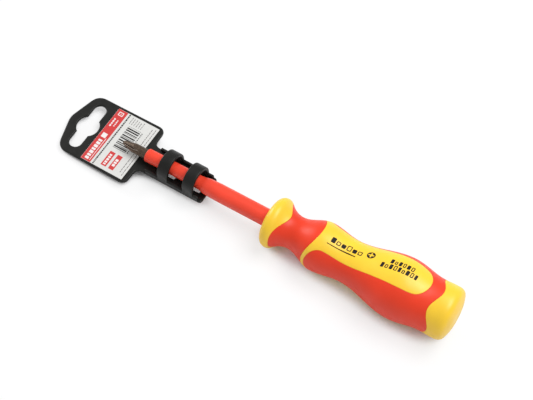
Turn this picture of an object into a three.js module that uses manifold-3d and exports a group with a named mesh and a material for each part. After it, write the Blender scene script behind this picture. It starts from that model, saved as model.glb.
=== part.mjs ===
// Insulated cross-point screwdriver on its clip-on shop hanger, in millimetres.
// The tool lies along X with its tip towards -X; +Z is up. It is drawn with x = 0 at the front
// of the guard and z = 0 on the axis, and the last lines put the middle of its footprint at 0.
import * as THREE from "three";
import { mergeVertices } from "three/addons/utils/BufferGeometryUtils.js";
import Module from "manifold-3d";

const wasm = await Module();
wasm.setup();

// Clearances
const seam = 0.3; // between moulded zones, and between the core and what surrounds it
const bladeFit = 0.3; // round the steel in its sleeve and in the core
const taperFit = 0.3; // between the sleeve's taper and the floor of the hanger

// Blade
const exposedLength = 100; // from the front of the guard to the tip
const bladeRadius = 3;
const buriedLength = 72; // steel hidden inside the handle
const bareTip = 17; // steel that the sleeve leaves bare
const tipRadius = 1.15; // blunt end of the point
const pointAngle = THREE.MathUtils.degToRad(13.25); // half angle of the point
const fluteLength = 11.5; // from the tip to where the flutes run out
const fluteRoot = 0.8; // distance from the axis to a flute's root at the tip
const fluteAngle = THREE.MathUtils.degToRad(92); // opening of each flute
const fluteCount = 4;
const wingLength = 10; // pressed ears that stop the steel from turning in the core
const wingSpan = 9;
const wingThickness = 1.4;
const wingFromEnd = 8; // end of the steel to the ears

// Sleeve on the blade
const thinWall = 0.7; // of the sleeve under the hanger
const stepWall = 1.65; // behind the short steep taper
const thickWall = 1.9; // near the handle
const stepStart = -47.5;
const stepEnd = -40;
const thickFrom = -30;
const sleeveEdge = 0.7; // rounding of the front end, at most the wall
const sleeveSeat = 9; // how far the sleeve runs inside the handle

// Handle, outer shape
const handleLength = 116.7;
const shellWall = 2.6; // thickness of the coloured zones over the core
const guardRim = 15.2; // radius
const rimRound = 4.2; // rounding of the guard's rim
const rimLeave = THREE.MathUtils.degToRad(45); // where the rim's rounding meets its back slope
const buttRound = 6.5; // length of the rounded end at the butt
const buttFlat = 4.5; // radius of the flat face in the middle of the domed butt
const buttCrown = 1.3; // how far the dome stands out from the edge's rounding
const crests = [ // waists and swells, from the guard to the butt: place and radius
  [16.5, 9.8],
  [33, 14.7],
  [51, 12.5],
  [83, 18.1],
  [102.5, 15.45],
  [108.5, 15.65],
];
const waveHandle = 0.364; // share of a span that makes a curve's handle follow a cosine
const handleTurn = THREE.MathUtils.degToRad(6); // the long panel faces slightly to the far side

// Handle, colour zones. Each boundary swings between a side place and a top and bottom place.
const guardSide = 6.9;
const guardTop = 12.3;
const bandSide = 27.2;
const bandTop = 32.6;
const bandWidth = 2.2; // of the yellow ring at the sides
const bandFlare = 12; // how far the ring widens towards the tongues
const capMiddle = 104.3;
const capWave = 1.8;
const tongueEnd = 98.5;
const tongueFrom = 33.6;
const tongueHalfWidths = [10.1, 8.9, 10.3]; // at its front, at the waist and at the swell
const tongueTail = 13; // length of its rounded end

// Hanger
const plateFront = -140.1; // tip of the gabled header
const plateCorner = -134.2;
const plateRear = -85.7;
const plateHalfWidth = 21.4; // at the shoulders
const headerHalfWidth = 20.9; // at the header's corners
const plateThickness = 1.7;
const neckRear = -41.4;
const neckHalfWidth = 9.1;
const wallHeight = 2.6; // of the neck's side walls above its floor
const wallThickness = 1.6;
const wallFront = -80;
const archWall = 2.2;
const archWidth = 7.2;
const archPlaces = [-71.2, -54]; // front face of each arch
const windowHalfWidth = 4; // opening in the floor under an arch
const windowRelief = [0.4, 1.2]; // how far it passes the arch's front and back faces
const slotPlace = -127.2; // hanging slot
const slotReach = 12; // from its middle to the centre of each round end
const slotRadius = 4;
const slotEye = 6.95; // radius of its round middle
const cornerRounds = { gable: 3.2, header: 6, shoulder: 5, throat: 4, end: 2.2 };

// The hanger sits a little askew on the blade
const cardRoll = THREE.MathUtils.degToRad(3.9); // about the blade, its +Y side up
const cardTurn = THREE.MathUtils.degToRad(0.46); // its header swings towards +Y

// Label
const labelStart = -118;
const labelOffset = -0.3; // across the hanger, from its middle
const labelLength = 29.1;
const labelWidth = 39.3;
const labelThickness = 0.25;
const labelFit = 0.05;

// Smoothness
const roundSteps = 40;
const waveSteps = 6;
const hiddenRoundSteps = 24; // of the core and the hollow round it
const hiddenWaveSteps = 4;
const cornerSteps = 5;
const ringGrowth = 1.2; // from ring to ring on a zone's cut face, so that facing cuts stay parallel

// Worked out from the sizes above
const sleeveBore = bladeRadius + bladeFit;
const sleeveThin = sleeveBore + thinWall;
const sleeveStep = sleeveBore + stepWall;
const sleeveThick = sleeveBore + thickWall;
const floorTop = -(sleeveStep + taperFit);
const plateBottom = floorTop - plateThickness;
const maxRadius = Math.max(...crests.map(([, radius]) => radius));
const reach = 2 * maxRadius; // larger than the handle, for cutting bodies

const plastic = (color, roughness) =>
  new THREE.MeshStandardMaterial({ color, roughness, metalness: 0 });
const red = plastic(0xe2483d, 0.42);
const yellow = plastic(0xf7ce3a, 0.42);
const amber = plastic(0xe9c469, 0.5);
const black = plastic(0x26272a, 0.5);
const paper = plastic(0xf1f0ee, 0.7);
const steel = new THREE.MeshStandardMaterial({ color: 0x4c4440, roughness: 0.45, metalness: 0.85 });

// Turns a three.js geometry into a solid that can be joined and cut.
function solid(geometry) {
  const plain = geometry.clone();
  plain.deleteAttribute("normal");
  plain.deleteAttribute("uv");
  const merged = mergeVertices(plain, 1e-4);
  return new wasm.Manifold(
    new wasm.Mesh({
      numProp: 3,
      vertProperties: new Float32Array(merged.attributes.position.array),
      triVerts: new Uint32Array(merged.index.array),
    }),
  );
}

function meshOf(name, body, material) {
  const data = body.getMesh();
  const geometry = new THREE.BufferGeometry()
    .setAttribute("position", new THREE.BufferAttribute(data.vertProperties, 3))
    .setIndex(new THREE.BufferAttribute(data.triVerts, 1));
  geometry.computeVertexNormals();
  const mesh = new THREE.Mesh(geometry, material);
  mesh.name = name;
  return mesh;
}

// Revolves an outline of (x, radius) points about the X axis.
function revolved(points, steps = roundSteps) {
  const profile = points.map((p) => new THREE.Vector2(Math.max(p.y, 0), p.x));
  const geometry = new THREE.LatheGeometry(profile, steps);
  return geometry.rotateZ(-Math.PI / 2);
}

const tube = (from, to, radius) =>
  revolved(
    [[from, 0], [from, radius], [to, radius], [to, 0]].map(([x, y]) => new THREE.Vector2(x, y)),
    hiddenRoundSteps,
  );

function block(fromX, toX, fromY, toY, fromZ, toZ) {
  const box = new THREE.BoxGeometry(toX - fromX, toY - fromY, toZ - fromZ);
  return box.translate((fromX + toX) / 2, (fromY + toY) / 2, (fromZ + toZ) / 2);
}

// Extrudes a shape drawn in Y and Z along X.
function alongX(shape, from, length, steps = cornerSteps) {
  const geometry = new THREE.ExtrudeGeometry(shape, {
    depth: length,
    bevelEnabled: false,
    curveSegments: steps,
  });
  const turn = new THREE.Matrix4().makeBasis(
    new THREE.Vector3(0, 1, 0),
    new THREE.Vector3(0, 0, 1),
    new THREE.Vector3(1, 0, 0),
  );
  return geometry.applyMatrix4(turn).translate(from, 0, 0);
}

// A closed shape through corners given as [x, y, distance at which its rounding starts].
function roundedShape(corners) {
  const shape = new THREE.Shape();
  corners.forEach(([x, y, round], i) => {
    const here = new THREE.Vector2(x, y);
    const before = corners[(i + corners.length - 1) % corners.length];
    const after = corners[(i + 1) % corners.length];
    const from = new THREE.Vector2(before[0], before[1]).sub(here).setLength(round).add(here);
    const to = new THREE.Vector2(after[0], after[1]).sub(here).setLength(round).add(here);
    if (i) shape.lineTo(from.x, from.y);
    else shape.moveTo(from.x, from.y);
    shape.quadraticCurveTo(x, y, to.x, to.y);
  });
  return shape;
}

// The handle's outline, drawn inwards by inset: guard rim, back slope, waves and rounded butt.
function handleOutline(inset, steps = waveSteps) {
  const path = new THREE.Path();
  const rimCentre = guardRim - rimRound;
  const rim = rimRound - inset;
  const end = handleLength - inset;
  path.moveTo(inset, 0);
  path.lineTo(inset, rimCentre);
  path.absarc(rimRound, rimCentre, rim, Math.PI, rimLeave, true);
  const leave = path.currentPoint.clone();
  const waist = new THREE.Vector2(crests[0][0], crests[0][1] - inset);
  const back = leave.y - waist.y; // a slope of 45 degrees reaches the waist's level here
  path.quadraticCurveTo(leave.x + back, waist.y, waist.x, waist.y);
  for (let i = 1; i < crests.length; i++) {
    const [x, radius] = crests[i];
    const last = path.currentPoint.clone();
    const handle = waveHandle * (x - last.x);
    path.bezierCurveTo(last.x + handle, last.y, x - handle, radius - inset, x, radius - inset);
  }
  const swell = crests.at(-1)[1] - inset;
  const edge = new THREE.Vector2(end - buttCrown, (2 * swell + buttFlat) / 3);
  path.lineTo(handleLength - buttRound, swell);
  const crown = new THREE.Vector2(end, (edge.y + buttFlat) / 2);
  const slope = edge.clone().sub(crown).multiplyScalar(0.35); // keeps the two curves tangent
  path.bezierCurveTo(edge.x - 1, swell, edge.x + slope.x, edge.y + slope.y, edge.x, edge.y);
  path.quadraticCurveTo(crown.x, crown.y, end, buttFlat);
  path.lineTo(end, 0);
  return path.getPoints(steps);
}

const hiddenBody = (inset) => revolved(handleOutline(inset, hiddenWaveSteps), hiddenRoundSteps);

// A cutting body round the axis between two boundaries, each a function of the angle from the top.
function zone(from, to) {
  const radii = [0];
  for (let radius = crests[0][1] / 2; radius < reach; radius *= ringGrowth) radii.push(radius);
  const profile = [
    ...radii.map((radius) => new THREE.Vector2(radius, 0)),
    ...radii.reverse().map((radius) => new THREE.Vector2(radius, 1)),
  ];
  const geometry = new THREE.LatheGeometry(profile, roundSteps).rotateZ(-Math.PI / 2);
  const place = geometry.attributes.position;
  for (let i = 0; i < place.count; i++) {
    const onAxis = Math.hypot(place.getY(i), place.getZ(i)) < 1e-6;
    const angle = onAxis ? Math.PI / 2 : Math.atan2(place.getY(i), place.getZ(i));
    const boundary = place.getX(i) > 0.5 ? to : from;
    place.setX(i, boundary(angle));
  }
  return solid(geometry);
}

// Place of a boundary that lies at side on both flanks and swings to top above and below.
const swing = (side, top, power = 2) => (angle) =>
  side + (top - side) * Math.abs(Math.cos(angle)) ** power;

const guardEdge = swing(guardSide, guardTop, 3);
const bandEdge = swing(bandSide, bandTop, 2.2);
const bandBack = swing(bandSide + bandWidth, bandSide + bandWidth + bandFlare, 3);
const capEdge = (angle) => capMiddle + capWave * Math.cos(4 * angle);
const shifted = (boundary, by) => (angle) => boundary(angle) + by;

// The long panels' outline seen from above, wider by grow, as a prism on both sides of the axis.
function tonguePrism(grow) {
  const [front, waist, swell] = tongueHalfWidths.map((width) => width + grow);
  const start = tongueFrom - grow;
  const tailStart = tongueEnd - tongueTail;
  const end = tongueEnd + grow;
  const side = (path, sign) => {
    const points = [
      [start, front],
      [crests[2][0], waist],
      [(crests[2][0] + crests[3][0]) / 2, (waist + swell) / 2],
      [crests[3][0], swell],
    ].map(([x, y]) => new THREE.Vector2(x, sign * y));
    return sign > 0 ? path.splineThru(points.slice(1)) : path.splineThru(points.reverse().slice(1));
  };
  const shape = new THREE.Shape();
  shape.moveTo(start, front);
  side(shape, 1);
  shape.bezierCurveTo(tailStart + tongueTail / 2, swell, end, swell * 0.75, end, 0);
  shape.bezierCurveTo(end, -swell * 0.75, tailStart + tongueTail / 2, -swell, crests[3][0], -swell);
  side(shape, -1);
  shape.closePath();
  const geometry = new THREE.ExtrudeGeometry(shape, {
    depth: 2 * reach,
    bevelEnabled: false,
    curveSegments: waveSteps,
  });
  return solid(geometry.translate(0, 0, -reach));
}

function makeBlade() {
  const tip = -exposedLength;
  const coneLength = (bladeRadius - tipRadius) / Math.tan(pointAngle);
  const outline = [
    [tip, 0],
    [tip, tipRadius],
    [tip + coneLength, bladeRadius],
    [buriedLength, bladeRadius],
    [buriedLength, 0],
  ].map(([x, y]) => new THREE.Vector2(x, y));
  let body = solid(revolved(outline));
  const half = Math.tan(fluteAngle / 2) * bladeRadius * 2;
  const rise = Math.atan((bladeRadius - fluteRoot) / fluteLength);
  for (let i = 0; i < fluteCount; i++) {
    const wedge = new THREE.Shape();
    wedge.moveTo(0, 0);
    wedge.lineTo(half, 2 * bladeRadius);
    wedge.lineTo(-half, 2 * bladeRadius);
    wedge.closePath();
    const groove = alongX(wedge, -1, fluteLength + bladeRadius * 2)
      .rotateY(-rise)
      .translate(tip, 0, fluteRoot)
      .rotateX((2 * Math.PI * (i + 0.5)) / fluteCount);
    body = body.subtract(solid(groove));
  }
  return body.add(solid(wings(0)));
}

// The pressed ears on the buried end of the steel, larger by grow on every side.
function wings(grow) {
  const end = buriedLength - wingFromEnd;
  return block(
    end - wingLength - grow,
    end + grow,
    -wingSpan / 2 - grow,
    wingSpan / 2 + grow,
    -wingThickness / 2 - grow,
    wingThickness / 2 + grow,
  );
}

function makeSleeve() {
  const front = bareTip - exposedLength;
  const path = new THREE.Path();
  const rounding = Math.min(sleeveEdge, thinWall);
  path.moveTo(front, sleeveBore);
  path.lineTo(front, sleeveThin - rounding);
  path.quadraticCurveTo(front, sleeveThin, front + rounding, sleeveThin);
  path.lineTo(stepStart, sleeveThin);
  const middle = (stepStart + stepEnd) / 2;
  path.bezierCurveTo(middle, sleeveThin, middle, sleeveStep, stepEnd, sleeveStep);
  path.quadraticCurveTo((stepEnd + thickFrom) / 2, sleeveThick, thickFrom, sleeveThick);
  path.lineTo(sleeveSeat, sleeveThick);
  path.lineTo(sleeveSeat, sleeveBore);
  path.lineTo(front, sleeveBore);
  return solid(revolved(path.getPoints(waveSteps)));
}

function makeCore() {
  return solid(hiddenBody(shellWall + seam))
    .subtract(solid(tube(0, sleeveSeat + seam, sleeveThick + seam)))
    .subtract(solid(tube(0, buriedLength + bladeFit, bladeRadius + bladeFit)))
    .subtract(solid(wings(bladeFit)));
}

function makeShell() {
  return solid(revolved(handleOutline(0)))
    .subtract(solid(hiddenBody(shellWall)))
    .subtract(solid(tube(-1, shellWall + 1, sleeveThick + seam)));
}

// The shell's five coloured zones.
function handleZones() {
  const shell = makeShell();
  const gap = seam / 2;
  const band = zone(shifted(bandEdge, gap), shifted(bandBack, -gap)).add(tonguePrism(-gap));
  const bandRoom = zone(shifted(bandEdge, -gap), shifted(bandBack, gap)).add(tonguePrism(gap));
  const behindBand = zone(shifted(bandEdge, gap), shifted(capEdge, -gap));
  return [
    ["front_guard", zone(() => -1, shifted(guardEdge, -gap)), yellow],
    ["front_grip", zone(shifted(guardEdge, gap), shifted(bandEdge, -gap)), red],
    ["panel_band", band, yellow],
    ["rear_grip", behindBand.subtract(bandRoom), red],
    ["butt_cap", zone(shifted(capEdge, gap), () => handleLength + 1), yellow],
  ].map(([name, cutter, material]) => meshOf(name, shell.intersect(cutter), material));
}

function hangingSlot() {
  const slot = new THREE.Path();
  const meet = Math.sqrt(slotEye ** 2 - slotRadius ** 2); // where the arms leave the round middle
  const side = Math.asin(meet / slotEye);
  slot.moveTo(slotPlace + slotRadius, meet);
  slot.lineTo(slotPlace + slotRadius, slotReach);
  slot.absarc(slotPlace, slotReach, slotRadius, 0, Math.PI, false);
  slot.lineTo(slotPlace - slotRadius, meet);
  slot.absarc(slotPlace, 0, slotEye, Math.PI - side, Math.PI + side, false);
  slot.lineTo(slotPlace - slotRadius, -slotReach);
  slot.absarc(slotPlace, -slotReach, slotRadius, Math.PI, 2 * Math.PI, false);
  slot.lineTo(slotPlace + slotRadius, -meet);
  slot.absarc(slotPlace, 0, slotEye, -side, side, false);
  return slot;
}

function makeHanger() {
  const { gable, header, shoulder, throat, end } = cornerRounds;
  const outline = roundedShape([
    [plateFront, 0, gable],
    [plateCorner, -headerHalfWidth, header],
    [plateRear, -plateHalfWidth, shoulder],
    [plateRear, -neckHalfWidth, throat],
    [neckRear, -neckHalfWidth, end],
    [neckRear, neckHalfWidth, end],
    [plateRear, neckHalfWidth, throat],
    [plateRear, plateHalfWidth, shoulder],
    [plateCorner, headerHalfWidth, header],
  ]);
  outline.holes.push(hangingSlot());
  const plate = new THREE.ExtrudeGeometry(outline, {
    depth: plateThickness,
    bevelEnabled: false,
    curveSegments: 2 * cornerSteps,
  });
  let body = solid(plate.translate(0, 0, plateBottom));
  const wallTop = floorTop + wallHeight;
  for (const sign of [-1, 1]) {
    const inner = sign * (neckHalfWidth - wallThickness);
    const outer = sign * neckHalfWidth;
    const wall = block(
      wallFront,
      neckRear - end,
      Math.min(inner, outer),
      Math.max(inner, outer),
      plateBottom + plateThickness / 2,
      wallTop,
    );
    body = body.add(solid(wall));
  }
  for (const front of archPlaces) {
    body = body.add(solid(alongX(archShape(), front, archWidth, 2 * waveSteps)));
    const opening = block(
      front - windowRelief[0],
      front + archWidth + windowRelief[1],
      -windowHalfWidth,
      windowHalfWidth,
      plateBottom - 1,
      floorTop + 1,
    );
    body = body.subtract(solid(opening));
  }
  return body;
}

// An arch seen along the blade: straight legs on the neck's sides under a half round.
function archShape() {
  const foot = plateBottom + plateThickness / 2;
  const inner = neckHalfWidth - archWall;
  const shape = new THREE.Shape();
  shape.moveTo(neckHalfWidth, foot);
  shape.lineTo(neckHalfWidth, 0);
  shape.absarc(0, 0, neckHalfWidth, 0, Math.PI, false);
  shape.lineTo(-neckHalfWidth, foot);
  shape.lineTo(-inner, foot);
  shape.lineTo(-inner, 0);
  shape.absarc(0, 0, inner, Math.PI, 0, true);
  shape.lineTo(inner, foot);
  shape.closePath();
  return shape;
}

function makeLabel() {
  const bottom = floorTop + labelFit;
  const near = labelOffset - labelWidth / 2;
  const far = near + labelWidth;
  return solid(block(labelStart, labelStart + labelLength, near, far, bottom, bottom + labelThickness));
}

const driver = new THREE.Group();
driver.rotation.x = -handleTurn;
driver.add(
  meshOf("blade", makeBlade(), steel),
  meshOf("blade_insulation", makeSleeve(), red),
  meshOf("handle_core", makeCore(), amber),
  ...handleZones(),
);
const card = new THREE.Group();
card.rotation.x = cardRoll;
card.rotation.z = -cardTurn;
card.add(meshOf("hanger", makeHanger(), black), meshOf("label", makeLabel(), paper));

const assembly = new THREE.Group();
assembly.add(driver, card);
const room = new THREE.Box3().setFromObject(assembly, true);
const middle = room.getCenter(new THREE.Vector3());
assembly.position.set(-middle.x, -middle.y, -room.min.z);

export default assembly;
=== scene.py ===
import math
import random
import bpy
import bmesh
import numpy as np
from mathutils import Matrix, Vector
from mathutils.geometry import delaunay_2d_cdt


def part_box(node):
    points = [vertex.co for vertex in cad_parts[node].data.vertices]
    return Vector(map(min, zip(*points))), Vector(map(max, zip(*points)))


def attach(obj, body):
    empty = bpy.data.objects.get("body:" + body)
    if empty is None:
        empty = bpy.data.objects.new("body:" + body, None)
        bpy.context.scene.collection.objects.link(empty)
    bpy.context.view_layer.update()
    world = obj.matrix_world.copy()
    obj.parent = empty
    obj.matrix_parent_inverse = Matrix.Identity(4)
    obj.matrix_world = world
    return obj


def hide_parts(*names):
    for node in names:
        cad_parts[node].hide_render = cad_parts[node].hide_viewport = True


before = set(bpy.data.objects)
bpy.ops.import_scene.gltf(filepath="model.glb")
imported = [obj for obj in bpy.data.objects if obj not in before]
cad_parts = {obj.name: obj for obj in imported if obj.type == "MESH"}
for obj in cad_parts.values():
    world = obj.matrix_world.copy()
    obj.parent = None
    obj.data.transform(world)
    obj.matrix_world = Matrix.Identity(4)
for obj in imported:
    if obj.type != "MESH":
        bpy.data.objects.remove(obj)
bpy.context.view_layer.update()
mm = 0.001
print("stage: frame loaded")

# Places come from the frame. Sizes are in millimetres, from the front of the guard and from the tool's axis.
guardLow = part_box("front_guard")[0]
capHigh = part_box("butt_cap")[1]
bandLow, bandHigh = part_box("panel_band")
gripLow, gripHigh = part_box("rear_grip")
bladeLow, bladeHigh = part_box("blade")
sleeveLow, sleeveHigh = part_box("blade_insulation")
frontX = guardLow.x
axisY = (gripLow.y + gripHigh.y) / 2
axisZ = (bandLow.z + bandHigh.z) / 2
handleLength = (capHigh.x - frontX) / mm


def place(x, y, z):  # a point in metres from millimetres on the tool
    return (frontX + x * mm, axisY + y * mm, axisZ + z * mm)


# The hanger sits a little askew on the blade. Its pieces are drawn straight and then laid askew.
cardRoll = math.radians(3.9)
cardTurn = math.radians(0.46)


def placeOnCard(x, y, z):
    turnedX = x * math.cos(cardTurn) + y * math.sin(cardTurn)
    turnedY = y * math.cos(cardTurn) - x * math.sin(cardTurn)
    rolledY = turnedY * math.cos(cardRoll) - z * math.sin(cardRoll)
    rolledZ = turnedY * math.sin(cardRoll) + z * math.cos(cardRoll)
    return place(turnedX, rolledY, rolledZ)


def newMesh(name, points, faces):
    data = bpy.data.meshes.new(name)
    data.from_pydata([tuple(p) for p in points], [], faces)
    data.validate()
    piece = bpy.data.objects.new(name, data)
    bpy.context.scene.collection.objects.link(piece)
    tidyFaces(piece)
    return piece


def tidyFaces(piece, smooth=40):  # merges doubles, turns faces outwards, smooths all but sharp edges
    bm = bmesh.new()
    bm.from_mesh(piece.data)
    bmesh.ops.remove_doubles(bm, verts=bm.verts, dist=1e-7)
    bmesh.ops.recalc_face_normals(bm, faces=bm.faces)
    for edge in bm.edges:
        edge.smooth = edge.calc_face_angle(0) < math.radians(smooth)
    for face in bm.faces:
        face.smooth = True
    bm.to_mesh(piece.data)
    bm.free()


def gridFaces(rows, columns):  # quads between rows of points, each row a ring
    faces = []
    for i in range(rows - 1):
        for j in range(columns):
            k = (j + 1) % columns
            faces.append((i * columns + j, i * columns + k, (i + 1) * columns + k, (i + 1) * columns + j))
    return faces


def bezier(a, b, c, d, steps):
    t = np.linspace(0, 1, steps + 1)[:, None]
    a, b, c, d = (np.array(p, float) for p in (a, b, c, d))
    return (1 - t) ** 3 * a + 3 * t * (1 - t) ** 2 * b + 3 * t * t * (1 - t) * c + t ** 3 * d


def spline(points, steps):  # a smooth curve through the points
    p = np.array(points, float)
    p = np.vstack([2 * p[0] - p[1], p, 2 * p[-1] - p[-2]])
    out = []
    for i in range(1, len(p) - 2):
        t = np.linspace(0, 1, steps, endpoint=False)[:, None]
        a, b, c, d = p[i - 1:i + 3]
        bend, twist = 2 * a - 5 * b + 4 * c - d, 3 * b - a - 3 * c + d
        out.append(0.5 * (2 * b + (c - a) * t + bend * t * t + twist * t ** 3))
    out.append(p[-2:-1])
    return np.vstack(out)


def material(name, roughness, metallic=0.0, specular=0.5):
    made = bpy.data.materials.new(name)
    made.use_nodes = True
    shader = made.node_tree.nodes["Principled BSDF"]
    shader.inputs["Roughness"].default_value = roughness
    shader.inputs["Metallic"].default_value = metallic
    shader.inputs["Specular IOR Level"].default_value = specular
    return made, made.node_tree, shader


def noise(tree, scale, detail, stretch=(1, 1, 1)):  # a noise texture in object space, scale per metre
    where = tree.nodes.new("ShaderNodeTexCoord")
    squeeze = tree.nodes.new("ShaderNodeMapping")
    squeeze.inputs["Scale"].default_value = stretch
    made = tree.nodes.new("ShaderNodeTexNoise")
    made.inputs["Scale"].default_value = scale
    made.inputs["Detail"].default_value = detail
    tree.links.new(where.outputs["Object"], squeeze.inputs["Vector"])
    tree.links.new(squeeze.outputs["Vector"], made.inputs["Vector"])
    return made.outputs["Fac"]


def ramp(tree, source, low, high, lowColour, highColour):
    made = tree.nodes.new("ShaderNodeValToRGB")
    made.color_ramp.elements[0].position = low
    made.color_ramp.elements[1].position = high
    made.color_ramp.elements[0].color = (*lowColour, 1)
    made.color_ramp.elements[1].color = (*highColour, 1)
    tree.links.new(source, made.inputs["Fac"])
    return made.outputs["Color"]


def bumps(tree, shader, layers):  # layers of (height source, distance in millimetres)
    last = None
    for source, distance in layers:
        made = tree.nodes.new("ShaderNodeBump")
        made.inputs["Strength"].default_value = 1.0
        made.inputs["Distance"].default_value = distance * mm
        tree.links.new(source, made.inputs["Height"])
        if last:
            tree.links.new(last, made.inputs["Normal"])
        last = made.outputs["Normal"]
    tree.links.new(last, shader.inputs["Normal"])


def shade(colour, factor):
    return tuple(min(1.0, c * factor) for c in colour)


def mouldedPlastic(name, colour, roughness, grain, spread=0.06, specular=0.5):
    made, tree, shader = material(name, roughness, specular=specular)
    cloud = noise(tree, 55, 4)
    tone = ramp(tree, cloud, 0.3, 0.7, shade(colour, 1 - spread), shade(colour, 1 + spread))
    tree.links.new(tone, shader.inputs["Base Color"])
    gloss = ramp(tree, noise(tree, 260, 5), 0.35, 0.7, (roughness - 0.05,) * 3, (roughness + 0.06,) * 3)
    tree.links.new(gloss, shader.inputs["Roughness"])
    bumps(tree, shader, [(noise(tree, 2600, 2), grain), (noise(tree, 300, 2), grain * 1.6)])
    return made


gripRed = (0.77, 0.042, 0.012)
gripYellow = (0.88, 0.56, 0.030)
redPlastic = mouldedPlastic("gripRedPlastic", gripRed, 0.43, 0.006, specular=0.33)
yellowPlastic = mouldedPlastic("gripYellowPlastic", gripYellow, 0.38, 0.006, specular=0.45)
sleeveRed = (0.80, 0.056, 0.026)
sleevePlastic = mouldedPlastic("sleeveRedPlastic", sleeveRed, 0.36, 0.004, specular=0.38)
corePlastic = mouldedPlastic("corePlastic", (0.80, 0.55, 0.14), 0.5, 0.006)
hangerBlack = (0.0065, 0.0067, 0.0056)
hangerPlastic = mouldedPlastic("hangerBlackPlastic", hangerBlack, 0.44, 0.012, spread=0.2, specular=0.3)


def phosphatedSteel():  # dark brown-black, with a painted highlight: a lighter colour along the flute ridges where the mesh says so
    made, tree, shader = material("phosphatedSteel", 0.42, metallic=0.75)
    crust = ramp(tree, noise(tree, 900, 5), 0.3, 0.75, (0.065, 0.043, 0.029), (0.15, 0.108, 0.078))
    # the mesh's ground attribute is 1 on the flute ridges, where the painted highlight goes
    edge = tree.nodes.new("ShaderNodeAttribute")
    edge.attribute_name = "ground"
    blend = tree.nodes.new("ShaderNodeMix")
    blend.data_type = "RGBA"
    tree.links.new(edge.outputs["Fac"], blend.inputs["Factor"])
    tree.links.new(crust, blend.inputs["A"])
    # the lighter colour painted on the flute ridges as a highlight
    blend.inputs["B"].default_value = (0.42, 0.36, 0.31, 1)
    tree.links.new(blend.outputs["Result"], shader.inputs["Base Color"])
    bumps(tree, shader, [(noise(tree, 1800, 3, (0.25, 1, 1)), 0.006)])
    return made


steel = phosphatedSteel()


def coatedPaper(name, colour, roughness=0.38, specular=0.5):
    made, tree, shader = material(name, roughness, specular=specular)
    fibre = ramp(tree, noise(tree, 700, 5), 0.3, 0.7, shade(colour, 0.97), shade(colour, 1.02))
    tree.links.new(fibre, shader.inputs["Base Color"])
    bumps(tree, shader, [(noise(tree, 1500, 2), 0.003)])
    return made


print("stage: materials made")

# Filled outlines: each piece's faces are drawn in a flat plane, then laid on the real surface.


def inwards(loop, distance, radius, wraps):  # the loop moved sideways, in millimetres on the surface
    ahead, behind = np.roll(loop, -1, 0), np.roll(loop, 1, 0)
    step = ahead - behind
    if wraps:
        step[:, 1] = (step[:, 1] + math.pi) % (2 * math.pi) - math.pi
    local = radius(loop[:, 0])
    along, across = step[:, 0], step[:, 1] * local
    size = np.maximum(np.hypot(along, across), 1e-9)
    return loop + distance * np.stack([-across / size, along / size / local], 1)


def isInside(points, loops):  # even-odd rule
    hit = np.zeros(len(points), bool)
    for loop in loops:
        ax, ay = loop.T
        bx, by = np.roll(loop, -1, 0).T
        px, py = points[:, 0, None], points[:, 1, None]
        spans = (ay > py) != (by > py)
        cross = ax + (py - ay) * (bx - ax) / np.where(by == ay, 1e-30, by - ay)
        hit ^= (spans & (px < cross)).sum(1) % 2 == 1
    return hit


def fill(loops, grid):  # triangles over the loops' points followed by the grid's
    points = np.vstack([*loops, grid]) if len(grid) else np.vstack(loops)
    edges = []
    start = 0
    for loop in loops:
        count = len(loop)
        edges += [(start + i, start + (i + 1) % count) for i in range(count)]
        start += count
    made = delaunay_2d_cdt([Vector(p) for p in points], edges, [], 0, 1e-9)
    spots = np.array([tuple(p) for p in made[0]])
    first = [origin[0] for origin in made[3]]
    faces = np.array(made[2])
    keep = isInside(spots[faces].mean(1), loops)
    return [tuple(first[i] for i in face) for face in faces[keep]]


def flat(points):
    return points


def one(values):
    return np.ones_like(values)


sampleSize = 9  # points of a loop that tell on which side its solid lies
clearance = 0.45  # between a loop and the grid points inside it


# A closed solid inside the loops. surface(points, drop) gives places, and edgeRows are (inset, drop) pairs.
def slab(name, loops, grid, surface, depth, edgeRows, toPlane=flat, radius=one, wraps=False,
         bottomRows=None):
    rows = [(inset, depth) for inset, _ in edgeRows[-1:]] + [(0.0, depth)]
    if bottomRows:
        rows = [(inset, depth - drop) for inset, drop in bottomRows[::-1]]
    rows += edgeRows
    turned = []
    for i, loop in enumerate(loops):
        middle = toPlane(inwards(loop, 0.02, radius, wraps))
        inside = isInside(middle[:sampleSize], [toPlane(l) for l in loops])
        side = 1 if inside.sum() > sampleSize // 2 else -1
        turned.append([inwards(loop, side * inset, radius, wraps) for inset, _ in rows])
    top = [ring[-1] for ring in turned]
    if len(grid):
        edge = np.vstack(top)
        away = np.abs(grid[:, None, 0] - edge[None, :, 0])
        around = np.abs(grid[:, None, 1] - edge[None, :, 1])
        if wraps:
            around = np.minimum(around % (2 * math.pi), -around % (2 * math.pi))
        around = around * radius(grid[:, 0])[:, None]
        grid = grid[np.hypot(away, around).min(1) > clearance]
        grid = grid[isInside(toPlane(grid), [toPlane(l) for l in top])]
    points, faces, starts = [], [], []
    for rings in turned:
        starts.append(sum(len(p) for p in points))
        count = len(rings[0])
        faces += [tuple(starts[-1] + k for k in face) for face in gridFaces(len(rows), count)]
        points += [surface(ring, drop) for ring, (_, drop) in zip(rings, rows)]
    total = sum(len(p) for p in points)
    if len(grid):
        points += [surface(grid, rows[0][1]), surface(grid, rows[-1][1])]
    counts = [len(loop) for loop in loops]
    for last in (False, True):
        index = []
        for start, count in zip(starts, counts):
            row = len(rows) - 1 if last else 0
            index += range(start + row * count, start + (row + 1) * count)
        begin = total + (len(grid) if last else 0)
        index += range(begin, begin + len(grid))
        ends = [ring[-1 if last else 0] for ring in turned]
        filled = fill([toPlane(l) for l in ends], toPlane(grid) if len(grid) else [])
        faces += [tuple(index[k] for k in face) for face in filled]
    return newMesh(name, np.vstack(points), faces)


print("stage: tools ready")

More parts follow.
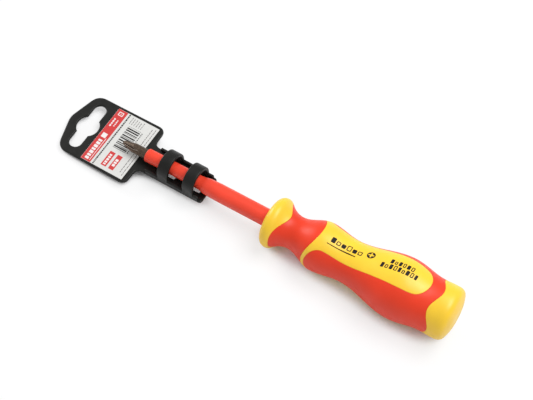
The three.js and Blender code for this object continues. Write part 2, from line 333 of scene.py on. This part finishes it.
# The handle is drawn by distance along its outline and by angle from the middle of the upper panel.
handle = {
    "shrink": 0.9965,                            # keeps the round handle inside the faceted model
    "rim": 15.2, "rimRound": 4.2, "rimLeave": 45,
    "crests": [(16.5, 9.8), (33, 14.7), (51, 12.5), (83, 18.1), (102.5, 15.45), (108.5, 15.65)],
    "buttRound": 6.5, "buttFlat": 4.5, "buttCrown": 1.3, "hole": 5.32, "wall": 2.4,
    "turn": 6,                                   # degrees that the panels face off the top
    "guardSide": 6.9, "guardTop": 12.3, "guardPower": 3,
    "bandSide": 27.2, "bandTop": 32.6, "bandPower": 2.2, "bandWidth": 2.2,
    "panel": [(38, 9.6), (44, 9.2), (51, 9.05), (58, 9.15), (65, 9.45), (72, 9.95), (80, 10.35), (86, 10.15),
              (90, 9.65), (93.5, 8.6), (96, 6.7), (97.8, 3.7), (98.5, 0), (97.8, -3.7)],
    "capMiddle": 104.3, "capWave": 1.8,
    "gap": 0.03,                                 # half the seam between two colours
    "grid": 1.15,                                # size of a face
    "reach": 0.364,                              # of the curves between two crests
}
seamRows = [(0.0, 0.16), (0.03, 0.085), (0.08, 0.034), (0.16, 0.008), (0.28, 0.0)]


def handleProfile():
    h = handle
    rim = h["rimRound"]
    centre = h["rim"] - rim
    turnTo = np.radians(np.linspace(180, h["rimLeave"], 40))
    points = [np.linspace([0, h["hole"]], [0, centre], 14)]
    points.append(np.stack([rim + rim * np.cos(turnTo), centre + rim * np.sin(turnTo)], 1))
    x, r = points[-1][-1]
    waistX, waistR = h["crests"][0]
    bendX = x + r - waistR
    leave = (x + (bendX - x) * 2 / 3, r + (waistR - r) * 2 / 3)
    points.append(bezier((x, r), leave, (waistX + (bendX - waistX) * 2 / 3, waistR), (waistX, waistR), 30))
    for (x0, r0), (x1, r1) in zip(h["crests"], h["crests"][1:]):
        reach = h["reach"] * (x1 - x0)
        points.append(bezier((x0, r0), (x0 + reach, r0), (x1 - reach, r1), (x1, r1), 40))
    swell = h["crests"][-1][1]
    edgeX, edgeR = handleLength - h["buttCrown"], (2 * swell + h["buttFlat"]) / 3
    crownR = (edgeR + h["buttFlat"]) / 2
    bend = 0.35                                  # keeps the two curves tangent
    tangent = (edgeX - bend * h["buttCrown"], edgeR + bend * (edgeR - crownR))
    roundStart = (handleLength - h["buttRound"], swell)
    points.append(bezier(roundStart, (edgeX - 1, swell), tangent, (edgeX, edgeR), 40))
    towardsCrown = (edgeX + h["buttCrown"] * 2 / 3, edgeR + (crownR - edgeR) * 2 / 3)
    towardsFlat = (handleLength, h["buttFlat"] + (crownR - h["buttFlat"]) * 2 / 3)
    points.append(bezier((edgeX, edgeR), towardsCrown, towardsFlat, (handleLength, h["buttFlat"]), 20))
    points.append(np.linspace([handleLength, h["buttFlat"]], [handleLength, 0.0], 20))
    line = np.vstack(points) * [1, h["shrink"]]
    keep = np.r_[True, np.linalg.norm(np.diff(line, axis=0), axis=1) > 1e-6]
    return line[keep]


profile = handleProfile()
reached = np.r_[0, np.cumsum(np.linalg.norm(np.diff(profile, axis=0), axis=1))]
rimTop = int(np.argmax(profile[:60, 1]))


def alongAt(x):  # distance along the outline, behind the rim
    return np.interp(x, profile[rimTop:, 0], reached[rimTop:])


def outlineAt(v):
    return np.interp(v, reached, profile[:, 0]), np.interp(v, reached, profile[:, 1])


def radiusAt(v):
    return np.maximum(outlineAt(v)[1], 0.4)


def onHandle(points, drop=0.0):
    v, angle = points[:, 0], points[:, 1] + math.radians(handle["turn"])
    x, r = outlineAt(v)
    aheadX, aheadR = outlineAt(v + 0.25)
    behindX, behindR = outlineAt(v - 0.25)
    dx, dr = aheadX - behindX, aheadR - behindR
    size = np.maximum(np.hypot(dx, dr), 1e-9)
    x = x + drop * dr / size
    r = np.maximum(r - drop * dx / size, 0)
    return np.stack([frontX + x * mm, axisY + r * np.sin(angle) * mm, axisZ + r * np.cos(angle) * mm], -1)


def flatRadii():  # how far out in a flat plane each ring of the handle lies, for its angles to stay true
    fine = np.linspace(0, reached[-1], 4000)
    r = outlineAt(fine)[1]
    share = np.diff(fine) / np.maximum((r[1:] + r[:-1]) / 2, 0.3)
    growth = np.r_[np.cumsum(share[::-1])[::-1], 0]
    return fine, growth


fineV, growth = flatRadii()


def handlePlane(points):
    far = np.exp(np.interp(points[:, 0], fineV, growth) - 4)
    return np.stack([far * np.cos(points[:, 1]), far * np.sin(points[:, 1])], -1)


def handleGrid(fromX, toX):  # evenly spaced points, in staggered rings
    step = handle["grid"]
    out = []
    low = 0.0 if fromX <= 0 else alongAt(fromX)
    high = reached[-1] if toX >= handleLength else alongAt(toX)
    for i, v in enumerate(np.arange(low, high, step * 0.87)):
        count = max(5, int(2 * math.pi * radiusAt(np.array([v]))[0] / step))
        angles = (np.arange(count) + 0.5 * (i % 2)) * 2 * math.pi / count
        out.append(np.stack([np.full(count, v), angles], 1))
    return np.vstack(out)


def ringSeam(seamPlace, count=360):  # a seam that goes round, from its place at each angle
    angles = np.arange(count) * 2 * math.pi / count
    return np.stack([alongAt(seamPlace(angles)), angles], 1)


def guardPlace(angle):
    h = handle
    return h["guardSide"] + (h["guardTop"] - h["guardSide"]) * np.abs(np.cos(angle)) ** h["guardPower"]


def bandPlace(angle):
    h = handle
    return h["bandSide"] + (h["bandTop"] - h["bandSide"]) * np.abs(np.cos(angle)) ** h["bandPower"]


def capPlace(angle):
    return handle["capMiddle"] + handle["capWave"] * np.cos(4 * angle)


def evenly(points, count):  # the same curve with evenly spaced points
    size = np.r_[0, np.cumsum(np.linalg.norm(np.diff(points, axis=0), axis=1))]
    places = np.linspace(0, size[-1], count)
    return np.stack([np.interp(places, size, points[:, i]) for i in range(points.shape[1])], 1)


def panelSeam(quarter=130):  # the seam behind the yellow ring, which runs round both long panels
    h = handle
    side = spline(h["panel"][::-1], 24)[24:]
    v = alongAt(side[:, 0])
    side = np.stack([v, np.arcsin(side[:, 1] / radiusAt(v))], 1)
    startX, backX = h["panel"][0][0], h["bandSide"] + h["bandWidth"]
    turn = np.radians(np.linspace(90, 0, 60))[1:]
    angle = math.pi / 2 - (math.pi / 2 - side[-1, 1]) * np.sin(turn)
    nose = np.stack([alongAt(backX + (startX - backX) * (1 - np.cos(turn))), angle], 1)
    meanRadius = 14.0
    run = evenly(np.vstack([side, nose]) * [1, meanRadius], quarter + 1) / [1, meanRadius]
    mirror = np.stack([run[:, 0], math.pi - run[:, 1]], 1)[::-1]
    half = np.vstack([run[:-1], mirror])
    other = half + [0, math.pi]
    return np.vstack([half[:-1], other[:-1]])


def handleZone(name, loops, span, look):
    gap = handle["gap"]
    grid = handleGrid(*span)
    piece = slab(name, loops, grid, onHandle, handle["wall"], [(i + gap, d) for i, d in seamRows],
                 handlePlane, radiusAt, True)
    piece.data.materials.append(look)
    return piece


def withHole(loops, count=160):  # the ring round the blade's hole is a loop of its own at the very front
    angles = np.arange(count) * 2 * math.pi / count
    return [np.stack([np.full(count, 0.02), angles], 1)] + loops


guardLoop = ringSeam(guardPlace)
bandLoop = ringSeam(bandPlace)
panelLoop = panelSeam()
capLoop = ringSeam(capPlace)
zones = [
    ("front_guard", withHole([guardLoop]), (0, 14), yellowPlastic, "grip_yellow"),
    ("front_grip", [guardLoop, bandLoop], (4, 34), redPlastic, "grip_red"),
    ("panel_band", [bandLoop, panelLoop], (25, 100), yellowPlastic, "grip_yellow"),
    ("rear_grip", [panelLoop, capLoop], (28, 108), redPlastic, "grip_red"),
    ("butt_cap", [capLoop], (100, handleLength), yellowPlastic, "grip_yellow"),
]
for node, loops, span, look, slot in zones:
    piece = handleZone(node + "_moulded", loops, span, look)
    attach(piece, "driver")
    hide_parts(node)
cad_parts["handle_core"].data.materials.clear()
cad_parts["handle_core"].data.materials.append(corePlastic)
print("stage: handle made")


def joined(name, parts):  # one piece from several
    bm = bmesh.new()
    for part in parts:
        bm.from_mesh(part.data)
        bpy.data.objects.remove(part)
    data = bpy.data.meshes.new(name)
    bm.to_mesh(data)
    bm.free()
    piece = bpy.data.objects.new(name, data)
    bpy.context.scene.collection.objects.link(piece)
    return piece


def lathe(name, outline, columns=96):  # a closed ring or a solid from (x, radius) points
    angles = np.arange(columns) * 2 * math.pi / columns
    points = [place(x, r * math.sin(a), r * math.cos(a)) for x, r in outline for a in angles]
    return newMesh(name, points, gridFaces(len(outline), columns))


def finish(piece, body, look, node=None):
    piece.data.materials.append(look)
    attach(piece, body)
    if node:
        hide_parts(node)


# Sleeve on the blade
sleeve = {
    "front": (sleeveLow.x - frontX) / mm, "back": (sleeveHigh.x - frontX) / mm,
    "bore": 3.32, "thin": 3.99, "step": 4.935, "thick": 5.185,
    "stepStart": -47.5, "stepEnd": -40, "swell": (-36, -34), "thickFrom": -30,
    "edge": 0.5, "boreEdge": 0.15, "rowSpace": 3,
}


def makeSleeve():
    s = sleeve
    front, bore, thin, thick, edge = s["front"], s["bore"], s["thin"], s["thick"], s["edge"]
    middle = (s["stepStart"] + s["stepEnd"]) / 2
    outwards, backwards = (front, thin - edge / 3), (front + edge / 3, thin)
    corner = bezier((front, thin - edge), outwards, backwards, (front + edge, thin), 8)
    step = bezier((s["stepStart"], thin), (middle, thin), (middle, s["step"]), (s["stepEnd"], s["step"]), 16)
    leave, meet = s["swell"]
    swell = bezier((s["stepEnd"], s["step"]), (leave, thick), (meet, thick), (s["thickFrom"], thick), 8)
    run = [(x, thin) for x in np.arange(front + 2, s["stepStart"], s["rowSpace"])]
    rear = [(x, thick) for x in np.arange(s["thickFrom"] + s["rowSpace"], s["back"], s["rowSpace"])]
    mouth = (front + s["boreEdge"], bore)
    outline = [mouth, (front, bore + s["boreEdge"]), *corner, *run, *step, *swell[1:], *rear]
    outline += [(s["back"], thick), (s["back"], bore), mouth]
    return lathe("sleeve_moulded", outline)


finish(makeSleeve(), "driver", sleevePlastic, "blade_insulation")

# Blade, with four flutes cut into its point
blade = {
    "tip": (bladeLow.x - frontX) / mm, "end": (bladeHigh.x - frontX) / mm, "radius": 2.99,
    "tipRadius": 1.15, "pointAngle": 13.25, "fluteRoot": 0.8, "fluteLength": 11.5, "fluteAngle": 92,
    "nose": 0.4, "fineLength": 12, "fineStep": 0.16, "coarseStep": 3, "endRound": 0.4, "ridgeHighlightWidth": 0.16,
}


def bladeSection(x, angles):  # radii of the blade at x, and how close each is to a flute's edge
    b = blade
    reach = x - b["tip"]
    cone = min(b["radius"], b["tipRadius"] + reach * math.tan(math.radians(b["pointAngle"])))
    root = b["fluteRoot"] + reach * (b["radius"] - b["fluteRoot"]) / b["fluteLength"]
    fromFlute = np.abs(angles % (math.pi / 2) - math.pi / 4)
    gape = np.cos(fromFlute) - np.sin(fromFlute) / math.tan(math.radians(b["fluteAngle"] / 2))
    flute = root / np.maximum(gape, 1e-3)
    return np.minimum(cone, flute), np.abs(flute - cone)


def makeBlade(columns=144):
    b = blade
    angles = np.arange(columns) * 2 * math.pi / columns
    nose = [(b["tip"] + b["nose"] * t * t, t) for t in (0.0, 0.35, 0.7, 0.92)]
    roundFrom = b["end"] - b["endRound"]
    places = nose + [(b["tip"] + b["nose"] + d, 1) for d in np.arange(0, b["fineLength"], b["fineStep"])]
    places += [(x, 1) for x in np.arange(b["tip"] + b["fineLength"] + 1, roundFrom, b["coarseStep"])]
    places += [(roundFrom, 1), (b["end"], 0.9)]
    points, ground = [], []
    for x, share in places:
        radii, edge = bladeSection(x, angles)
        turned = angles + math.radians(handle["turn"])
        points += [place(x, r * share * math.sin(a), r * share * math.cos(a)) for r, a in zip(radii, turned)]
        # 1 on the flute ridges and fading over the width: the share of the painted highlight
        ground += list(np.clip(1 - edge / b["ridgeHighlightWidth"], 0, 1))
    last = len(points) - columns
    faces = gridFaces(len(places), columns) + [tuple(range(last, last + columns))]
    data = bpy.data.meshes.new("blade_forged")
    data.from_pydata(points, [], faces)
    data.attributes.new("ground", "FLOAT", "POINT").data.foreach_set("value", ground)
    piece = bpy.data.objects.new("blade_forged", data)
    bpy.context.scene.collection.objects.link(piece)
    tidyFaces(piece, 28)
    return piece


finish(makeBlade(), "driver", steel, "blade")
print("stage: blade and sleeve made")

# Hanger
hanger = {
    "top": -5.25, "thickness": 1.7,
    "front": -140.1, "corner": -134.2, "rear": -85.7,
    "halfWidth": 21.4, "headerHalfWidth": 20.9, "neckRear": -41.4, "neckHalfWidth": 9.1,
    "wallTop": -2.65, "wallThickness": 1.6, "wallFront": -80, "wallRear": -43.6,
    "archWall": 2.2, "archWidth": 7.2, "archFronts": [-71.2, -54], "windowHalfWidth": 4.0,
    "windowFront": 0.4, "windowRear": 1.2,
    "slot": -127.2, "slotReach": 12, "slotRadius": 4, "slotEye": 6.95,
    "rounds": {"gable": 3.2, "header": 6, "shoulder": 5, "throat": 4, "end": 2.2, "window": 0.9},
    "archRound": 0.75, "wallRound": 0.55, "legTop": -0.4,
    "archInset": 0.03, "archFoot": 0.3, "wallInset": 0.04, "wallFoot": 0.35,
}
softRows = [(0.0, 0.6), (0.046, 0.37), (0.176, 0.176), (0.37, 0.046), (0.6, 0.0), (0.9, 0.0)]
lowRows = [(0.0, 0.3), (0.088, 0.088), (0.3, 0.0), (0.6, 0.0)]


def onLevel(level):  # lays flat points at a level, in millimetres from the axis
    def surface(points, drop):
        return np.array([placeOnCard(x, y, level - drop) for x, y in points])
    return surface


def roundedLoop(corners, steps=10):  # corners are (x, y, distance at which the rounding starts)
    loop = []
    for i, (x, y, start) in enumerate(corners):
        here = np.array([x, y])
        ends = []
        for other in (corners[i - 1], corners[(i + 1) % len(corners)]):
            away = np.array(other[:2]) - here
            ends.append(here + away / np.linalg.norm(away) * start)
        loop.append(bezier(ends[0], (ends[0] + 2 * here) / 3, (ends[1] + 2 * here) / 3, ends[1], steps))
    return np.vstack(loop)


def hangingSlot():
    h = hanger
    meet = math.sqrt(h["slotEye"] ** 2 - h["slotRadius"] ** 2)
    side = math.asin(meet / h["slotEye"])
    arcs = [(h["slotReach"], h["slotRadius"], 0, math.pi), (0, h["slotEye"], math.pi - side, math.pi + side),
            (-h["slotReach"], h["slotRadius"], math.pi, 2 * math.pi), (0, h["slotEye"], -side, side)]
    loop = []
    for y, r, start, end in arcs:
        turn = np.linspace(start, end, 30)
        loop.append(np.stack([h["slot"] + r * np.cos(turn), y + r * np.sin(turn)], 1))
    return np.vstack(loop)


def rounded(x0, x1, y0, y1, corner, steps=6):
    return roundedLoop([(x0, y0, corner), (x1, y0, corner), (x1, y1, corner), (x0, y1, corner)], steps)


def bevelBox(low, high, width):
    bm = bmesh.new()
    bmesh.ops.create_cube(bm, size=1)
    for vert in bm.verts:
        vert.co = Vector([a + (b - a) * (c + 0.5) for a, b, c in zip(low, high, vert.co)]) * mm
    bmesh.ops.bevel(bm, geom=bm.edges[:], offset=width * mm, segments=4, profile=0.5, affect="EDGES")
    data = bpy.data.meshes.new("box")
    for vert in bm.verts:
        vert.co = placeOnCard(*(vert.co / mm))
    bm.to_mesh(data)
    bm.free()
    box = bpy.data.objects.new("box", data)
    bpy.context.scene.collection.objects.link(box)
    tidyFaces(box)
    return box


def sweptArch(front):
    h = hanger
    outer = h["neckHalfWidth"] - h["archInset"]
    middle = outer - h["archWall"] / 2
    foot = h["top"] - h["thickness"] + h["archFoot"]
    turn = np.linspace(0, math.pi, 49)
    path = [(middle, z, 0.0) for z in np.linspace(foot, h["legTop"], 6)]
    path += [(middle * math.cos(t), middle * math.sin(t), t) for t in turn]
    path += [(-middle, z, math.pi) for z in np.linspace(h["legTop"], foot, 6)]
    half = h["archWidth"] / 2
    section = rounded(-half, half, -h["archWall"] / 2, h["archWall"] / 2, h["archRound"])
    points = []
    for y, z, t in path:
        for along, outward in section:
            across, high = y + outward * math.cos(t), z + outward * math.sin(t)
            points.append(placeOnCard(front + half + along, across, high))
    count = len(section)
    caps = [tuple(range(count)), tuple(range(len(points) - count, len(points)))]
    return newMesh("arch", points, gridFaces(len(path), count) + caps)


def makeHanger():
    h = hanger
    wide, header, narrow = h["halfWidth"], h["headerHalfWidth"], h["neckHalfWidth"]
    r = h["rounds"]
    outline = roundedLoop([
        (h["front"], 0, r["gable"]), (h["corner"], -header, r["header"]),
        (h["rear"], -wide, r["shoulder"]), (h["rear"], -narrow, r["throat"]),
        (h["neckRear"], -narrow, r["end"]), (h["neckRear"], narrow, r["end"]),
        (h["rear"], narrow, r["throat"]), (h["rear"], wide, r["shoulder"]),
        (h["corner"], header, r["header"])])
    loops = [outline, hangingSlot()]
    side = h["windowHalfWidth"]
    for front in h["archFronts"]:
        rear = front + h["archWidth"] + h["windowRear"]
        loops.append(rounded(front - h["windowFront"], rear, -side, side, r["window"]))
    parts = [slab("plate", loops, [], onLevel(h["top"]), h["thickness"], softRows, bottomRows=lowRows)]
    inner, outer = narrow - h["wallThickness"], narrow - h["wallInset"]
    foot = h["top"] - h["thickness"] + h["wallFoot"]
    for near, far in ((-outer, -inner), (inner, outer)):
        low, high = (h["wallFront"], near, foot), (h["wallRear"], far, h["wallTop"])
        parts.append(bevelBox(low, high, h["wallRound"]))
    parts += [sweptArch(front) for front in h["archFronts"]]
    return joined("hanger_moulded", parts)


finish(makeHanger(), "hanger_card", hangerPlastic, "hanger")

# Label, with plain marks where a shop's print would be
label = {
    "front": -118, "rear": -88.9, "halfWidth": 19.64, "offset": -0.3,
    "top": -4.95, "thickness": 0.22, "ink": 0.02, "bandEnd": -111.3, "inset": 0.12, "corner": 0.5,
    # Marks are (x0, x1, y0, y1), and dashes have (shortest, longest) and the space between them as well.
    "patches": [(-105.3, -101.7, -17.3, -6.9), (-100.0, -96.6, -17.3, -6.9)],
    "bandDashes": (-116.0, -113.5, -18.4, -3.0, (1.3, 2.3), 0.6),
    "bandMarks": [(-112.6, -112.25, -18.4, -1.5), (-116.3, -113.2, -1.8, 1.4)],
    "bandSmall": [(-116.4, -115.4, 6.6, 13.2, (1.0, 1.9), 0.4),
                  (-114.0, -113.3, 7.6, 12.4, (0.7, 1.3), 0.35)],
    "bandFrame": [(-116.3, -113.1, 15.4, 15.9), (-116.3, -113.1, 17.6, 18.1), (-116.3, -115.8, 15.9, 17.6),
                  (-113.6, -113.1, 15.9, 17.6), (-115.0, -114.4, 16.5, 17.0)],
    "patchDashes": [(-104.3, -102.7, -16.4, -7.9, (0.8, 1.5), 0.45),
                    (-99.2, -97.4, -14.9, -9.2, (1.2, 1.6), 0.4)],
    "darkLine": (-110.0, -109.1, -19.2, 19.3, (0.5, 1.5), 0.3),
    "strokes": (-106.0, -97.2, -4.0, 12.4),
    "underStrokes": (-96.4, -95.7, -3.6, 12.0, (0.5, 0.8), 0.6),
    "greyLines": [(-92.6, -92.2, -16.0, 18.2, (0.8, 2.4), 0.4),
                  (-90.6, -90.2, -17.5, 18.2, (0.8, 2.2), 0.4)],
    "noteStarts": [-107.0, -105.4, -103.8, -102.2, -100.6, -99.0],
    "note": (0.4, 13.8, 18.6, (0.6, 1.5), 0.35),
}
random.seed(7)


def printed(name, marks, look, lift=0.0):  # each mark is (x0, x1, y0, y1), laid on the label
    points, faces = [], []
    level = label["top"] - label["ink"] * (2 - lift)
    for x0, x1, y0, y1 in marks:
        start = len(points)
        for z in (level - label["ink"], level + label["ink"]):
            corners = [(x0, y0), (x1, y0), (x1, y1), (x0, y1)]
            points += [placeOnCard(x, y + label["offset"], z) for x, y in corners]
        sides = [(0, 1, 2, 3), (4, 5, 6, 7), (0, 1, 5, 4), (1, 2, 6, 5), (2, 3, 7, 6), (3, 0, 4, 7)]
        faces += [tuple(start + k for k in face) for face in sides]
    finish(newMesh(name, points, faces), "hanger_card", look)


def greeked(x0, x1, y0, y1, word, space):  # a line of plain dashes along Y that stands for small print
    out = []
    y = y0
    while y < y1 - word[0]:
        length = min(random.uniform(*word), y1 - y)
        out.append((x0, x1, y, y + length))
        y += length + space
    return out


def bars(x0, x1, y0, y1):  # upright strokes of uneven width
    out = []
    y = y0
    while y < y1:
        width = random.choice((0.3, 0.3, 0.6, 0.9))
        out.append((x0, x1, y, min(y + width, y1)))
        y += width + random.choice((0.35, 0.5, 0.8))
    return out


def makeLabel():
    l = label
    edge = l["halfWidth"]
    loop = rounded(l["front"], l["rear"], l["offset"] - edge, l["offset"] + edge, l["corner"])
    paperRows = [(0.0, 0.05), (0.03, 0.01), (0.08, 0.0), (0.3, 0.0)]
    level = onLevel(l["top"] - 2 * l["ink"])
    paper = slab("label_card", [loop], [], level, l["thickness"] - l["ink"], paperRows)
    finish(paper, "hanger_card", coatedPaper("coatedPaper", (0.63, 0.63, 0.61)), "label")
    red = [(l["front"] + l["inset"], l["bandEnd"], -edge + l["inset"], edge - l["inset"])] + l["patches"]
    printed("label_red_print", red, coatedPaper("redInk", (0.56, 0.035, 0.035)))
    white = greeked(*l["bandDashes"]) + l["bandMarks"]
    for dashes in l["bandSmall"]:
        white += greeked(*dashes)
    white += l["bandFrame"]
    for dashes in l["patchDashes"]:
        white += greeked(*dashes)
    printed("label_white_marks", white, coatedPaper("whiteInk", (0.76, 0.72, 0.71)), 1.0)
    dark = greeked(*l["darkLine"]) + bars(*l["strokes"]) + greeked(*l["underStrokes"])
    printed("label_black_print", dark, coatedPaper("blackInk", (0.015, 0.014, 0.014), 0.5, 0.3))
    grey = []
    for dashes in l["greyLines"]:
        grey += greeked(*dashes)
    width, *rest = l["note"]
    for x in l["noteStarts"]:
        grey += greeked(x, x + width, *rest)
    printed("label_grey_print", grey, coatedPaper("greyInk", (0.15, 0.14, 0.14), 0.5, 0.3))


makeLabel()
print("stage: hanger and label made")

# Plain marks on the upper panel: a row of blocks and a cross over a stroke, and two more rows of blocks
panelPrint = {
    "ink": 0.02, "skew": 0.072, "skewFrom": 50, "stroke": 0.5, "space": 0.7, "lowBlock": 0.74,
    "cross": (62.2, -0.2), "ring": 2.3, "crossReach": 1.6, "crossHalf": 0.42, "crossRound": 0.12,
    "firstRow": (39.2, -2.7, 3.4, 6, (2.1, 2.7)),   # x, y, height, how many and how wide
    "underline": (38.0, 55.0, -4.4, -3.95),
    "backRows": [(73.6, -1.8, 3.1, 6, (1.4, 1.8)), (69.6, -5.5, 3.1, 9, (1.4, 1.9))],
}


def onPanel(points, drop):  # lays (x, y) points on the upper panel
    v = alongAt(points[:, 0])
    angle = np.arcsin(np.clip(points[:, 1] / radiusAt(v), -1, 1))
    return onHandle(np.stack([v, angle], 1), drop - panelPrint["ink"])


def ringLoop(x, y, r, steps=48):
    turn = np.arange(steps) * 2 * math.pi / steps
    return np.stack([x + r * np.cos(turn), y + r * np.sin(turn)], 1)


def fineBar(x0, x1, y0, y1):  # a rounded bar with enough points to follow the panel
    corner = min(x1 - x0, y1 - y0) * 0.25
    loop = skewed(rounded(x0, x1, y0, y1, corner, 3))
    return np.vstack([np.linspace(a, b, 5, endpoint=False) for a, b in zip(loop, np.roll(loop, -1, 0))])


def skewed(loop):  # the print runs a little off the axis
    p = panelPrint
    return loop + np.stack([np.zeros(len(loop)), p["skew"] * (loop[:, 0] - p["skewFrom"])], 1)


def blocks(x, y, high, count, widths):  # a row of plain blocks, the size of letters, some of them hollow
    out = []
    for i in range(count):
        wide = random.uniform(*widths)
        top = y + high * (1 if i % 3 == 0 else random.choice((panelPrint["lowBlock"], 1)))
        loops = [fineBar(x, x + wide, y, top)]
        if i % 2:
            t = panelPrint["stroke"]
            loops.append(fineBar(x + t, x + wide - t, y + t, top - t))
        out.append(loops)
        x += wide + panelPrint["space"]
    return out


def makePanelPrint():
    p = panelPrint
    arms = crossCorners(*p["cross"], p["crossReach"], p["crossHalf"])
    cross = roundedLoop([(x, y, p["crossRound"]) for x, y in arms], 3)
    outlines = [[skewed(ringLoop(*p["cross"], p["ring"])), skewed(cross)]]
    outlines += blocks(*p["firstRow"])
    outlines += [[fineBar(*p["underline"])]]
    for row in p["backRows"]:
        outlines += blocks(*row)
    parts = [slab("mark", loops, [], onPanel, 2 * p["ink"], [(0.0, 0.0)]) for loops in outlines]
    return joined("panel_black_print", parts)


def crossCorners(x, y, reach, half):
    arm = [(half, half), (half, reach), (-half, reach)]
    out = []
    for turns in range(4):
        c, s = round(math.cos(turns * math.pi / 2)), round(math.sin(turns * math.pi / 2))
        out += [(x + a * c - b * s, y + a * s + b * c) for a, b in arm]
    return out


finish(makePanelPrint(), "driver", coatedPaper("panelInk", (0.012, 0.010, 0.009), 0.6, 0.2))
print("stage: panel print made")

# The tool's handle rests on its guard's rim and on its swell, so the ground under it is tilted a little.
rest = {"guardX": 4.2, "guardR": 15.2, "swellX": 83.0, "swellR": 18.1}
slope = (rest["swellR"] - rest["guardR"]) / (rest["swellX"] - rest["guardX"])


def groundAt(x):  # height of the ground in millimetres from the axis
    return -rest["swellR"] - slope * (x - rest["swellX"])


floorSize = 6.0  # metres from the middle to each side
corners = [(floorSize * x, floorSize * y) for x, y in ((-1, -1), (1, -1), (1, 1), (-1, 1))]
ground = bpy.data.meshes.new("ground")
ground.from_pydata([place(x / mm, y / mm, groundAt(x / mm)) for x, y in corners], [], [(0, 1, 2, 3)])
floor = bpy.data.objects.new("ground", ground)
bpy.context.scene.collection.objects.link(floor)


groundLook = {
    "colour": (0.8, 0.8, 0.81, 1), "white": 1.02, "whiteShare": 0.7,
    "near": 18,                                  # ground shut in under a piece this near keeps its own shade
    "shut": 0.34, "clear": 0.56,                 # open share of the view at which it is shut in, or clear
}


def groundMaterial():  # white to the camera, with part of the object's shadow kept
    g = groundLook
    made, tree, shader = material("ground", 0.9, specular=0.0)
    shader.inputs["Base Color"].default_value = g["colour"]
    white = tree.nodes.new("ShaderNodeEmission")
    white.inputs["Strength"].default_value = g["white"]
    path = tree.nodes.new("ShaderNodeLightPath")
    share = tree.nodes.new("ShaderNodeMath")
    share.operation = "MULTIPLY"
    share.inputs[1].default_value = g["whiteShare"]
    openness = tree.nodes.new("ShaderNodeAmbientOcclusion")
    openness.inputs["Distance"].default_value = g["near"] * mm
    closedIn = tree.nodes.new("ShaderNodeMapRange")
    closedIn.inputs["From Min"].default_value = g["shut"]
    closedIn.inputs["From Max"].default_value = g["clear"]
    deeper = tree.nodes.new("ShaderNodeMath")
    deeper.operation = "MULTIPLY"
    blend = tree.nodes.new("ShaderNodeMixShader")
    tree.links.new(path.outputs["Is Camera Ray"], share.inputs[0])
    tree.links.new(share.outputs["Value"], deeper.inputs[0])
    tree.links.new(openness.outputs["AO"], closedIn.inputs["Value"])
    tree.links.new(closedIn.outputs["Result"], deeper.inputs[1])
    tree.links.new(deeper.outputs["Value"], blend.inputs["Fac"])
    tree.links.new(shader.outputs["BSDF"], blend.inputs[1])
    tree.links.new(white.outputs["Emission"], blend.inputs[2])
    tree.links.new(blend.outputs["Shader"], tree.nodes["Material Output"].inputs["Surface"])
    return made


ground.materials.append(groundMaterial())

world = bpy.data.worlds.new("studio")
bpy.context.scene.world = world
world.use_nodes = True
sky = world.node_tree.nodes["Background"]
sky.inputs["Color"].default_value = (1, 1, 1, 1)
sky.inputs["Strength"].default_value = 0.5


def softLight(name, position, size, energy):
    data = bpy.data.lights.new(name, "AREA")
    data.shape = "RECTANGLE"
    data.size, data.size_y = size
    data.energy = energy
    light = bpy.data.objects.new(name, data)
    bpy.context.scene.collection.objects.link(light)
    light.location = position
    light.rotation_euler = (lightTarget - Vector(position)).to_track_quat("-Z", "Y").to_euler()


lightTarget = Vector((0.0, 0.0, 0.01))
softLight("overhead", (0.4, 0.25, 1.0), (0.8, 0.6), 10.4)
softLight("low", (-1.0, 0.3, 0.42), (0.35, 0.3), 5.0)

view = {
    "turn": 31.75, "tilt": 57.6, "distance": 724.8, "right": 2.16, "up": -10.91,
    "focal": 87.8, "sensor": 36, "clipStart": 0.01,
}
turn, tilt = math.radians(view["turn"]), math.radians(view["tilt"])
right = Vector((math.cos(turn), math.sin(turn), 0))
ahead = Vector((-math.sin(turn) * math.cos(tilt), math.cos(turn) * math.cos(tilt), -math.sin(tilt)))
up = right.cross(ahead)
eye = -view["right"] * right - view["up"] * up - view["distance"] * ahead
cameraData = bpy.data.cameras.new("camera")
cameraData.lens = view["focal"]
cameraData.sensor_width = view["sensor"]
cameraData.clip_start = view["clipStart"]
camera = bpy.data.objects.new("camera", cameraData)
camera.matrix_world = Matrix.Translation(place(*eye)) @ Matrix((right, up, -ahead)).transposed().to_4x4()
bpy.context.scene.collection.objects.link(camera)
bpy.context.scene.camera = camera
bpy.context.scene.view_settings.view_transform = "Standard"
print("stage: camera and lights placed")
